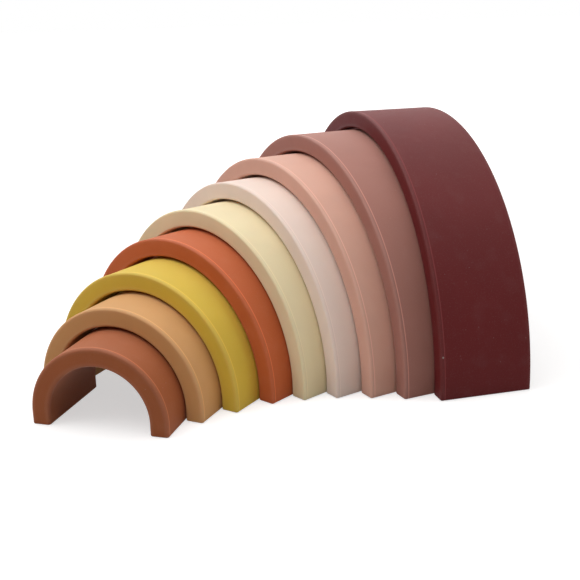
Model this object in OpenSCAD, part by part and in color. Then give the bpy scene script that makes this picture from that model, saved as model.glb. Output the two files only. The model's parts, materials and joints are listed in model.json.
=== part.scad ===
// Rainbow stacker: nested arches of soft moulded silicone, drawn out of each other into a curved fan.
// Millimetres, +Z up. The largest arch stands square to the axes, with its front towards -Y.
// Every smaller arch is swung forwards out of the next larger one, about an upright line on the +X side.

/* [Arch] */
// Clear width between the feet of the smallest arch
inner_width = 55; // [40:1:80]
// Wall thickness of every arch
wall = 10; // [7:0.5:14]
// Depth of every arch from front to back
depth = 52; // [40:1:70]
// Straight leg under the round of the largest arch
leg = 1.5; // [0.5:0.5:20]
// Extra leg on each next smaller arch, which lifts its crown towards its neighbour
leg_step = 0.6; // [0:0.1:1]
// Rounding of the long edges
edge_round = 1.6; // [0.5:0.1:3]

/* [Nesting] */
// Room at each side between the legs of one arch and the next
side_gap = 2.2; // [1.4:0.1:4]
// Share of the side room that an arch may use up as it swings out
swing_room_share = 0.82; // [0.5:0.01:0.9]

/* [Parting line] */
// Distance of the mould's parting groove behind the front face
parting_setback = 2.4; // [2:0.1:8]
// Radius of the parting groove
parting_round = 0.35; // [0.2:0.05:0.6]

/* [Hidden] */
$fn = 96;
NODES = [
    "brown_arch", "tan_arch", "mustard_arch", "rust_arch", "cream_arch",
    "blush_arch", "peach_arch", "mauve_arch", "burgundy_arch"
];

// How far each arch is drawn out of the next, from the smallest up, as shares of the depth
draw_shares = [0.51, 0.49, 0.56, 0.47, 0.53, 0.43, 0.52, 0.72];
// How much each arch takes of the largest swing that stays clear of the next, from the smallest up
turn_shares = [1, 0.95, 1, 1, 1, 0.65, 0.8, 0.9];

arch_count = len(NODES);
largest = arch_count - 1;
pitch = wall + side_gap;
swing_room = side_gap * swing_room_share;

// Half width of an arch over its feet, and the height of its straight legs
function half_width(i) = inner_width / 2 + wall + i * pitch;
function leg_height(i) = leg + (largest - i) * leg_step;

// The shortest swing radius at which the turning arch uses up no more than the swing room
function least_swing(i) =
    depth ^ 2 / (8 * swing_room) + 2 * swing_room * (half_width(i) / depth) ^ 2;

// How far an arch is drawn out, the angle it has turned by then, and its swing radius
function draw(i) = depth * draw_shares[i];
function turn(i) = turn_shares[i] * asin(draw(i) / least_swing(i));
function swing_radius(i) = draw(i) / sin(turn(i));

// The upright line that an arch swings about, seen from the next larger arch.
// Its depth gives the near front corner and the far rear corner the same room.
function pole(i) =
    let (near = sqrt(swing_radius(i) - half_width(i)))
    let (far = sqrt(swing_radius(i) + half_width(i)))
    [swing_radius(i), depth * near / (near + far), 0];

// A point of an arch after that arch, and then every larger one, has swung out
function swung_point(p, i) =
    let (arm = p - pole(i))
    let (t = turn(i))
    pole(i) + [arm.x * cos(t) - arm.y * sin(t), arm.x * sin(t) + arm.y * cos(t), 0];
function fanned_point(p, i) = i < largest ? fanned_point(swung_point(p, i), i + 1) : p;

// Centres of the rounded corners of every footprint, and the middle of the box round them
corners = [
    for (i = [0:largest])
        for (side = [-1, 1])
            for (y = [edge_round, depth - edge_round])
                fanned_point([side * (half_width(i) - edge_round), y, 0], i)
];
corner_xs = [for (c = corners) c.x];
corner_ys = [for (c = corners) c.y];
footprint_middle = [
    (min(corner_xs) + max(corner_xs)) / 2,
    (min(corner_ys) + max(corner_ys)) / 2,
    0
];

// Section through the wall: its inside at x = 0, its back at y = 0
module wall_section() {
    difference() {
        union() {
            translate([edge_round, 0])
                square([wall - 2 * edge_round, depth]);
            translate([0, edge_round])
                square([wall, depth - 2 * edge_round]);
            for (x = [edge_round, wall - edge_round])
                for (y = [edge_round, depth - edge_round])
                    translate([x, y])
                        circle(r = edge_round);
        }
        translate([wall, depth - parting_setback])
            circle(r = parting_round);
    }
}

// The half ring of an arch, its front at y = 0
module round_of_arch(i) {
    translate([0, depth, leg_height(i)])
        rotate([90, 0, 0])
            rotate_extrude(angle = 180)
                translate([half_width(i) - wall, 0])
                    wall_section();
}

// The straight leg on the +X side, flat at the foot
module straight_leg(i) {
    linear_extrude(height = leg_height(i))
        translate([half_width(i) - wall, depth])
            mirror([0, 1])
                wall_section();
}

module whole_arch(i) {
    round_of_arch(i);
    for (side = [0, 1])
        mirror([side, 0, 0])
            straight_leg(i);
}

// One swing out of the next larger arch, and all the swings from an arch up to the largest
module swung(i) {
    translate(pole(i))
        rotate([0, 0, turn(i)])
            translate(-pole(i))
                children();
}

module fanned(i) {
    if (i < largest)
        fanned(i + 1)
            swung(i)
                children();
    else
        children();
}

module standing_arch(i) {
    translate(-footprint_middle)
        fanned(i)
            whole_arch(i);
}

module brown_arch() { color("#a86445") standing_arch(0); }
module tan_arch() { color("#c8935c") standing_arch(1); }
module mustard_arch() { color("#cfae45") standing_arch(2); }
module rust_arch() { color("#bd6238") standing_arch(3); }
module cream_arch() { color("#e4d6a8") standing_arch(4); }
module blush_arch() { color("#e4cabc") standing_arch(5); }
module peach_arch() { color("#d3a28a") standing_arch(6); }
module mauve_arch() { color("#a5766a") standing_arch(7); }
module burgundy_arch() { color("#6b2f33") standing_arch(8); }

brown_arch();
tan_arch();
mustard_arch();
rust_arch();
cream_arch();
blush_arch();
peach_arch();
mauve_arch();
burgundy_arch();
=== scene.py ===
import json
import math

import bmesh
import bpy
from mathutils import Color, Matrix, Vector


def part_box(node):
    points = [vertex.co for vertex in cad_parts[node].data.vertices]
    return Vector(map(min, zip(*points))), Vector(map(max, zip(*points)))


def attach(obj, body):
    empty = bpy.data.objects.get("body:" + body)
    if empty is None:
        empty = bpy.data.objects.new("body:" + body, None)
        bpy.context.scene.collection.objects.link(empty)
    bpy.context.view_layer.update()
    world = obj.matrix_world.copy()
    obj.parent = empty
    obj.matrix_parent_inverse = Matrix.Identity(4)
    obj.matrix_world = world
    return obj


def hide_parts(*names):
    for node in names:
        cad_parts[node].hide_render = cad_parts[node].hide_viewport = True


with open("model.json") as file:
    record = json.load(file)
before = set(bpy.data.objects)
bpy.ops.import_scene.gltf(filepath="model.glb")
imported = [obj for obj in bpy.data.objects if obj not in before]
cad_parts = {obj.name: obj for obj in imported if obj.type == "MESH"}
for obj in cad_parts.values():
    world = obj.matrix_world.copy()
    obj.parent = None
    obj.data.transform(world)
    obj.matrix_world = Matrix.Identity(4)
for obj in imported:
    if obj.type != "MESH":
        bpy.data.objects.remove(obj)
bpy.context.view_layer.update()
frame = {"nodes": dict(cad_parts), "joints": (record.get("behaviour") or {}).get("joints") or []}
print("frame loaded with", len(frame["nodes"]), "arches")

# where the photograph was taken from: metres, and degrees of turn
photoCamera = {
    "lens": 59.1,
    "sensor": 36.0,
    "place": (0.5622, -0.1138, 0.2048),
    "heading": 75.44,
    "lookDown": 17.04,
    "roll": -1.39,
}

bpy.ops.object.select_all(action="DESELECT")
bpy.ops.object.camera_add(location=photoCamera["place"])
camera = bpy.context.object
camera.name = "photoCamera"
camera.data.lens = photoCamera["lens"]
camera.data.sensor_width = photoCamera["sensor"]
headingTurn = Matrix.Rotation(math.radians(photoCamera["heading"]), 4, "Z")
tiltTurn = Matrix.Rotation(math.pi / 2 - math.radians(photoCamera["lookDown"]), 4, "X")
rollTurn = Matrix.Rotation(math.radians(photoCamera["roll"]), 4, "Z")
camera.matrix_world = Matrix.Translation(photoCamera["place"]) @ headingTurn @ tiltTurn @ rollTurn
bpy.context.scene.camera = camera
print("camera placed")


# the sockets of a Mix node that mixes colours
colourMix = {"share": 0, "first": 6, "second": 7, "result": 2}


# a shader socket that adds Math nodes when it is used in sums
class Wire:
    def __init__(self, tree, socket=None):
        self.tree = tree
        self.socket = socket

    def node(self, kind, settings=None, inputs=None, output=0):
        made = self.tree.nodes.new(kind)
        for name, value in (settings or {}).items():
            setattr(made, name, value)
        for name, value in (inputs or {}).items():
            if isinstance(value, Wire):
                self.tree.links.new(value.socket, made.inputs[name])
            else:
                made.inputs[name].default_value = value
        return Wire(self.tree, made.outputs[output] if made.outputs else None)

    # another output of the node that this wire comes from
    def also(self, output):
        return Wire(self.tree, self.socket.node.outputs[output])

    def sum(self, operation, first, second=0.0):
        return self.node("ShaderNodeMath", {"operation": operation}, {0: first, 1: second})

    def __add__(self, other):
        return self.sum("ADD", self, other)

    def __radd__(self, other):
        return self.sum("ADD", other, self)

    def __sub__(self, other):
        return self.sum("SUBTRACT", self, other)

    def __rsub__(self, other):
        return self.sum("SUBTRACT", other, self)

    def __mul__(self, other):
        return self.sum("MULTIPLY", self, other)

    def __pow__(self, other):
        return self.sum("POWER", self, other)

    def __abs__(self):
        return self.sum("ABSOLUTE", self)

    def atLeast(self, other):
        return self.sum("MAXIMUM", self, other)

    def atMost(self, other):
        return self.sum("MINIMUM", self, other)

    # 1 where this is at or past full, 0 where it is at or past none, smooth between
    def fade(self, full, none):
        ends = {"Value": self, "From Min": none, "From Max": full}
        return self.node("ShaderNodeMapRange", {"interpolation_type": "SMOOTHSTEP"}, ends)

    def noise(self, scale, detail):
        return self.node("ShaderNodeTexNoise", None, {"Vector": self, "Scale": scale, "Detail": detail})

    # this wire is the share of the second colour
    def tint(self, first, second):
        ends = {colourMix["share"]: self, colourMix["first"]: first, colourMix["second"]: second}
        return self.node("ShaderNodeMix", {"data_type": "RGBA"}, ends, colourMix["result"])


def linearColour(hexColour):
    fullByte = 255
    written = Color([part / fullByte for part in bytes.fromhex(hexColour.lstrip("#"))])
    return tuple(written.from_srgb_to_scene_linear()) + (1.0,)


def shade(colour, factor):
    return tuple(min(part * factor, 1.0) for part in colour[:3]) + (1.0,)


def mixColour(first, second, share):
    return tuple(a + (b - a) * share for a, b in zip(first, second))


# 1 for what is seen, straight on, mirrored or through glass, and 0 for what only lights
def seenOnly(start):
    path = start.node("ShaderNodeLightPath", None, None, "Is Camera Ray")
    return path.atLeast(path.also("Is Glossy Ray")).atLeast(path.also("Is Transmission Ray"))


# pale floor, which keeps the object's shadow, and a white room
room = {
    "floorSize": 14.0,
    "floorDrop": 0.0002,
    "floorColour": (0.61, 0.602, 0.596, 1.0),
    "floorLift": 0.56,
    "farWhite": 1.05,
    "nearRing": 0.35,
    "farRing": 1.1,
    "skyColour": (1.0, 1.0, 1.0, 1.0),
    "skyLight": 0.005,
}


def addFloor():
    bpy.ops.object.select_all(action="DESELECT")
    bpy.ops.mesh.primitive_plane_add(size=room["floorSize"], location=(0, 0, -room["floorDrop"]))
    floor = bpy.context.object
    floor.name = "paleFloor"
    material = bpy.data.materials.new("paleFloor")
    material.use_nodes = True
    tree = material.node_tree
    tree.nodes.clear()
    start = Wire(tree)
    seen = seenOnly(start)
    coords = start.node("ShaderNodeTexCoord", None, None, "Object")
    apart = start.node("ShaderNodeVectorMath", {"operation": "LENGTH"}, {0: coords}, "Value")
    close = apart.fade(room["nearRing"], room["farRing"])
    lift = close * room["floorLift"] + (1.0 - close) * room["farWhite"]
    matte = start.node("ShaderNodeBsdfDiffuse", None, {"Color": room["floorColour"]})
    glow = start.node("ShaderNodeEmission", None, {"Strength": seen * lift})
    both = start.node("ShaderNodeAddShader", None, {0: matte, 1: glow})
    start.node("ShaderNodeOutputMaterial", None, {"Surface": both})
    floor.data.materials.append(material)


def addSky():
    world = bpy.data.worlds.new("whiteRoom")
    bpy.context.scene.world = world
    world.use_nodes = True
    tree = world.node_tree
    tree.nodes.clear()
    start = Wire(tree)
    seen = seenOnly(start)
    strength = room["skyLight"] + seen * (1.0 - room["skyLight"])
    sky = start.node("ShaderNodeBackground", None, {"Color": room["skyColour"], "Strength": strength})
    start.node("ShaderNodeOutputWorld", None, {"Surface": sky})


# soft boxes: place, what they point at, size in metres and power in watts
softBoxes = {
    "overhead": {"place": (0.05, 0.0, 1.15), "aim": (0.0, 0.0, 0.0), "size": 1.5, "power": 12.5},
    "rightSide": {"place": (0.35, 1.3, 0.55), "aim": (0.0, 0.0, 0.06), "size": 1.0, "power": 4.4},
    "behindTop": {"place": (-1.0, 0.26, 0.9), "aim": (0.0, 0.0, 0.06), "size": 1.0, "power": 2.4},
    "cameraSide": {"place": (1.2, -0.31, 0.75), "aim": (0.0, 0.0, 0.06), "size": 1.0, "power": 1.9},
    "leftTop": {"place": (-0.1, -0.75, 1.0), "aim": (0.0, 0.0, 0.06), "size": 1.0, "power": 6.1},
}


def addLights():
    for name, box in softBoxes.items():
        towards = Vector(box["aim"]) - Vector(box["place"])
        turn = towards.to_track_quat("-Z", "Y").to_euler()
        bpy.ops.object.light_add(type="AREA", location=box["place"], rotation=turn)
        lamp = bpy.context.object
        lamp.name = name
        lamp.data.shape = "SQUARE"
        lamp.data.size = box["size"]
        lamp.data.energy = box["power"]
        lamp.visible_camera = False


addFloor()
addSky()
addLights()
bpy.context.scene.view_settings.view_transform = "Standard"
print("floor, sky and soft boxes made")

# sizes that all the arches share, in metres
archShape = {
    "wall": 0.010,
    "sideGap": 0.0022,
    "legStep": 0.0006,
    "edgeSegments": 6,
    "spinSteps": 120,
    "footRound": 0.0005,
    "footSegments": 3,
    "partingSetback": 0.0019,
    "partingHalfWidth": 0.00035,
    "partingDepth": 0.00022,
    "partingCuts": 4,
    "pickReach": 0.00001,
    "weldReach": 0.000001,
}


def pickVerts(piece, wanted):
    bpy.ops.mesh.select_mode(type="VERT")
    bpy.ops.mesh.select_all(action="DESELECT")
    mesh = bmesh.from_edit_mesh(piece.data)
    for vert in mesh.verts:
        vert.select_set(wanted(vert.co))
    mesh.select_flush(True)
    bmesh.update_edit_mesh(piece.data)


# a round-bottomed groove in the outline of the wall, where the two halves of the mould met
def cutPartingGroove(piece, halfWidth):
    near = archShape["pickReach"]
    cuts = archShape["partingCuts"]
    for step in range(-cuts, cuts + 1):
        place = archShape["partingSetback"] + archShape["partingHalfWidth"] * step / cuts
        bpy.ops.mesh.select_all(action="SELECT")
        bpy.ops.mesh.bisect(plane_co=(0, place, 0), plane_no=(0, 1, 0))
        sink = archShape["partingDepth"] * (0.5 + 0.5 * math.cos(math.pi * step / cuts))
        pickVerts(piece, lambda co: abs(co.y - place) < near and abs(co.x - halfWidth) < near)
        bpy.ops.transform.translate(value=(-sink, 0, 0))


# one arch in its own place: its front at y = 0, its feet on the floor, its middle at x = 0
def modelArch(name, halfWidth, legHeight, depth, edgeRound):
    wall = archShape["wall"]
    near = archShape["pickReach"]
    bpy.ops.object.select_all(action="DESELECT")
    bpy.ops.mesh.primitive_plane_add(size=1, location=(halfWidth - wall / 2, depth / 2, 0))
    piece = bpy.context.object
    piece.name = name
    piece.data.name = name
    piece.scale = (wall, depth, 1)
    bpy.ops.object.transform_apply(location=True, rotation=True, scale=True)
    bpy.ops.object.mode_set(mode="EDIT")
    bpy.ops.mesh.select_mode(type="VERT")
    bpy.ops.mesh.select_all(action="SELECT")
    bpy.ops.mesh.bevel(offset=edgeRound, segments=archShape["edgeSegments"], affect="VERTICES")
    cutPartingGroove(piece, halfWidth)
    # the outline goes up the right leg, over the round and down the left leg
    bpy.ops.mesh.select_mode(type="FACE")
    bpy.ops.mesh.select_all(action="SELECT")
    bpy.ops.mesh.extrude_region_move(TRANSFORM_OT_translate={"value": (0, 0, legHeight)})
    bpy.ops.mesh.spin(steps=archShape["spinSteps"], angle=math.pi,
                      center=(0, 0, legHeight), axis=(0, 1, 0))
    bpy.ops.mesh.extrude_region_move(TRANSFORM_OT_translate={"value": (0, 0, -legHeight)})
    bpy.ops.mesh.select_all(action="SELECT")
    bpy.ops.mesh.remove_doubles(threshold=archShape["weldReach"])
    bpy.ops.mesh.normals_make_consistent(inside=False)
    # soften the rim of both feet
    pickVerts(piece, lambda co: abs(co.z) < near)
    bpy.ops.mesh.select_mode(type="FACE")
    bpy.ops.mesh.region_to_loop()
    bpy.ops.mesh.bevel(offset=archShape["footRound"], segments=archShape["footSegments"],
                       affect="EDGES")
    bpy.ops.object.mode_set(mode="OBJECT")
    bpy.ops.object.shade_smooth()
    bpy.ops.object.modifier_add(type="WEIGHTED_NORMAL")
    piece.modifiers[-1].keep_sharp = True
    bpy.ops.object.modifier_apply(modifier=piece.modifiers[-1].name)
    return piece


# matte moulded silicone, patterned in the arch's own place
silicone = {
    "rough": 0.62,
    "specular": 0.15,
    "cloudScale": 24.0,
    "cloudDetail": 3.0,
    "cloudLow": 0.34,
    "cloudHigh": 0.68,
    "cloudDark": 0.955,
    "cloudLight": 1.035,
    "cloudRelief": 0.9,
    "patchScale": 95.0,
    "patchDetail": 4.0,
    "patchLow": 0.48,
    "patchHigh": 0.75,
    "patchShare": 0.05,
    "patchRelief": 0.3,
    "patchMiddle": 0.5,
    "patchGloss": 0.14,
    "grainScale": 1500.0,
    "grainDetail": 2.0,
    "grainLow": 0.55,
    "grainHigh": 0.70,
    "grainShare": 0.08,
    "grainRelief": 0.14,
    "speckScale": 260.0,
    "speckSize": 0.075,
    "speckEdge": 0.05,
    "speckPick": 0.60,
    "speckPickEdge": 0.58,
    "speckShare": 0.12,
    # pale bloom, also the colour of the painted sheen on the tops
    "bloomAndSheenColour": (0.80, 0.74, 0.70, 1.0),
    "bloomShare": 0.22,
    # dust and painted sheen: the outer surface paler the more it faces up
    "dustAndSheenFocus": 3.0,
    "dustAndSheenShare": 0.03,
    # the band along the edges, rubbed and lightened as a painted highlight, and glossier
    "edgeStart": 0.0009,
    "edgeEnd": 0.0030,
    "edgeGloss": 0.07,
    "outerStart": 0.0006,
    "outerEnd": 0.0012,
    "lineStart": 0.0001,
    "lineEnd": 0.0005,
    # painted shade in the parting groove: how dark it is and its share
    "paintedGrooveShade": 0.5,
    "paintedGrooveShadeShare": 0.15,
    # painted highlight: a lighter line just behind the parting groove, with its place, lightening, paleness
    # and share
    "paintedHighlightSetback": 0.0023,
    "paintedHighlightFactor": 2.2,
    "paintedHighlightPaleness": 0.05,
    "paintedHighlightShare": 0.55,
    # a band above the floor where the arch is darker and rougher
    "footBand": 0.003,
    "footShade": 0.7,
    "footShare": 0.22,
    "footGloss": 0.06,
    "bumpHeight": 0.00008,
    "bumpStrength": 0.8,
    "softWeight": 0.25,
    "softReach": 0.004,
    "softRadius": (1.0, 0.6, 0.45),
}

# a small pale cut beside the parting line, low on the largest arch's right leg
nick = {
    "size": 0.0004,
    "spread": 0.0007,
    "setback": 0.0014,
    "share": 0.3,
    "relief": 3.0,
}


def siliconeMaterial(look, place, halfWidth, legHeight, depth):
    material = bpy.data.materials.new(look["slot"])
    material.use_nodes = True
    tree = material.node_tree
    shader = tree.nodes["Principled BSDF"]
    start = Wire(tree)
    coords = start.node("ShaderNodeTexCoord", None, None, "Object")
    own = start.node("ShaderNodeMapping", {"vector_type": "TEXTURE"}, {
        "Vector": coords,
        "Location": place.to_translation(),
        "Rotation": place.to_euler(),
    })
    # how near a point is to the faces, the edges, the parting line and the floor
    across = own.node("ShaderNodeSeparateXYZ", None, {"Vector": own}, "X")
    fromFront = across.also("Y")
    height = across.also("Z")
    rise = (height - legHeight).atLeast(0.0)
    radius = (across * across + rise * rise) ** 0.5
    fromOuter = halfWidth - radius
    fromInner = radius - (halfWidth - archShape["wall"])
    toFace = fromFront.atMost(depth - fromFront)
    toWall = fromOuter.atMost(fromInner)
    edge = (toFace + toWall).fade(silicone["edgeStart"], silicone["edgeEnd"])
    onOuter = fromOuter.fade(silicone["outerStart"], silicone["outerEnd"])
    # dust and painted sheen, paler where the outer surface faces up
    dustAndSheenOnTops = (rise * radius ** -1.0) ** silicone["dustAndSheenFocus"] * onOuter
    # the parting groove, where shade is painted
    fromSeam = abs(fromFront - archShape["partingSetback"])
    paintedGrooveShadeMask = fromSeam.fade(silicone["lineStart"], silicone["lineEnd"]) * onOuter
    # painted highlight along the rear lip of the parting groove
    fromPaintedHighlight = abs(fromFront - silicone["paintedHighlightSetback"])
    paintedHighlight = fromPaintedHighlight.fade(silicone["lineStart"], silicone["lineEnd"]) * onOuter
    # darker and rougher towards the floor
    foot = height.fade(0.0, silicone["footBand"])
    clouds = own.noise(silicone["cloudScale"], silicone["cloudDetail"])
    patches = own.noise(silicone["patchScale"], silicone["patchDetail"])
    grain = own.noise(silicone["grainScale"], silicone["grainDetail"])
    speckCells = {"Vector": own, "Scale": silicone["speckScale"]}
    lint = own.node("ShaderNodeTexVoronoi", None, speckCells, "Distance")
    chosen = lint.also("Color").fade(silicone["speckPick"], silicone["speckPickEdge"])
    specks = lint.fade(silicone["speckEdge"], silicone["speckSize"]) * chosen
    paleClouds = clouds.fade(silicone["cloudHigh"], silicone["cloudLow"])
    palePatches = patches.fade(silicone["patchHigh"], silicone["patchLow"])
    paleGrain = grain.fade(silicone["grainHigh"], silicone["grainLow"])
    # the moulded colour, then dust and painted sheen on top, lint, rubbed edges with painted highlight, a
    # painted highlight and painted shade at the parting line and darker feet
    base = linearColour(look["colour"])
    bloomAndEdgeHighlight = mixColour(base, silicone["bloomAndSheenColour"], silicone["bloomShare"])
    # a lighter copy of the colour, for the painted highlight line
    highlightBase = shade(base, min(silicone["paintedHighlightFactor"], 1.0 / max(base[:3])))
    paintedHighlightColour = mixColour(highlightBase, silicone["bloomAndSheenColour"], silicone["paintedHighlightPaleness"])
    colour = paleClouds.tint(shade(base, silicone["cloudDark"]), shade(base, silicone["cloudLight"]))
    # dust and painted sheen on the tops
    colour = (dustAndSheenOnTops * silicone["dustAndSheenShare"]).tint(colour, silicone["bloomAndSheenColour"])
    colour = (palePatches * silicone["patchShare"]).tint(colour, bloomAndEdgeHighlight)
    colour = (paleGrain * silicone["grainShare"]).tint(colour, bloomAndEdgeHighlight)
    colour = (specks * silicone["speckShare"]).tint(colour, silicone["bloomAndSheenColour"])
    # rubbed wear and painted highlight along the edges
    colour = (edge * look["rubAndHighlight"]).tint(colour, bloomAndEdgeHighlight)
    # paint the highlight line behind the parting groove
    colour = (paintedHighlight * silicone["paintedHighlightShare"]).tint(colour, paintedHighlightColour)
    # painted shade in the parting groove
    colour = (paintedGrooveShadeMask * silicone["paintedGrooveShadeShare"]).tint(colour, shade(base, silicone["paintedGrooveShade"]))
    colour = (foot * silicone["footShare"]).tint(colour, shade(base, silicone["footShade"]))
    relief = clouds * silicone["cloudRelief"]
    relief = relief + patches * silicone["patchRelief"] + grain * silicone["grainRelief"]
    if "nickHeight" in look:
        nickRise = look["nickHeight"] - legHeight
        nickAcross = (halfWidth ** 2 - nickRise ** 2) ** 0.5
        nickPlace = (nickAcross, nick["setback"], look["nickHeight"])
        apart = own.node("ShaderNodeVectorMath", {"operation": "DISTANCE"}, {0: own, 1: nickPlace}, "Value")
        cut = apart.fade(nick["size"], nick["spread"])
        colour = (cut * nick["share"]).tint(colour, silicone["bloomAndSheenColour"])
        relief = relief - cut * nick["relief"]
    tree.links.new(colour.socket, shader.inputs["Base Color"])
    rough = silicone["rough"] + (patches - silicone["patchMiddle"]) * silicone["patchGloss"]
    rough = rough - edge * silicone["edgeGloss"] + foot * silicone["footGloss"]
    tree.links.new(rough.socket, shader.inputs["Roughness"])
    bump = start.node("ShaderNodeBump", None, {
        "Height": relief,
        "Distance": silicone["bumpHeight"],
        "Strength": silicone["bumpStrength"],
    })
    tree.links.new(bump.socket, shader.inputs["Normal"])
    shader.inputs["Specular IOR Level"].default_value = silicone["specular"]
    shader.inputs["Subsurface Weight"].default_value = silicone["softWeight"]
    shader.inputs["Subsurface Scale"].default_value = silicone["softReach"]
    shader.inputs["Subsurface Radius"].default_value = silicone["softRadius"]
    return material


# from the largest arch to the smallest: its colour, how far its edges are rubbed and lightened as a painted
# highlight, and their rounding
# the last has the fan's outermost corner, and the solid's own rounding keeps that inside the box
arches = [
    {"name": "burgundy", "colour": "#621d1e", "rubAndHighlight": 0.05, "edgeRound": 0.0012, "nickHeight": 0.0237},
    {"name": "mauve", "colour": "#a67367", "rubAndHighlight": 0.14, "edgeRound": 0.0012},
    {"name": "peach", "colour": "#d8a794", "rubAndHighlight": 0.18, "edgeRound": 0.0012},
    {"name": "blush", "colour": "#ecd6c9", "rubAndHighlight": 0.12, "edgeRound": 0.0012},
    {"name": "cream", "colour": "#ebdab1", "rubAndHighlight": 0.12, "edgeRound": 0.0012},
    {"name": "rust", "colour": "#c16237", "rubAndHighlight": 0.08, "edgeRound": 0.0012},
    {"name": "mustard", "colour": "#dab946", "rubAndHighlight": 0.18, "edgeRound": 0.0013},
    {"name": "tan", "colour": "#d29d66", "rubAndHighlight": 0.18, "edgeRound": 0.0014},
    {"name": "brown", "colour": "#a15a35", "rubAndHighlight": 0.15, "edgeRound": 0.0016},
]


def buildArches():
    low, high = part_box("burgundy_arch")
    depth = high.y - low.y
    widest = (high.x - low.x) / 2
    shortestLeg = (high.z - low.z) - widest
    pitch = archShape["wall"] + archShape["sideGap"]
    swings = {joint["child"]: joint for joint in frame["joints"]}
    place = Matrix.Translation(((low.x + high.x) / 2, low.y, low.z))
    for count, look in enumerate(arches):
        node = look["name"] + "_arch"
        look["slot"] = look["name"] + "_silicone"
        if node in swings:  # it stands in the last arch, and swings out of it
            pole = Matrix.Translation(swings[node]["pos_m"])
            turn = math.radians(-swings[node]["range_deg"][0])
            place = pole @ Matrix.Rotation(turn, 4, "Z") @ pole.inverted() @ place
        halfWidth = widest - count * pitch
        legHeight = shortestLeg + count * archShape["legStep"]
        piece = modelArch(look["name"] + "Arch", halfWidth, legHeight, depth, look["edgeRound"])
        piece.matrix_world = place
        bpy.ops.object.transform_apply(location=True, rotation=True, scale=True)
        piece.data.materials.append(siliconeMaterial(look, place, halfWidth, legHeight, depth))
        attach(piece, node)
        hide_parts(node)
        print(look["name"], "arch made with", len(piece.data.polygons), "faces")


buildArches()
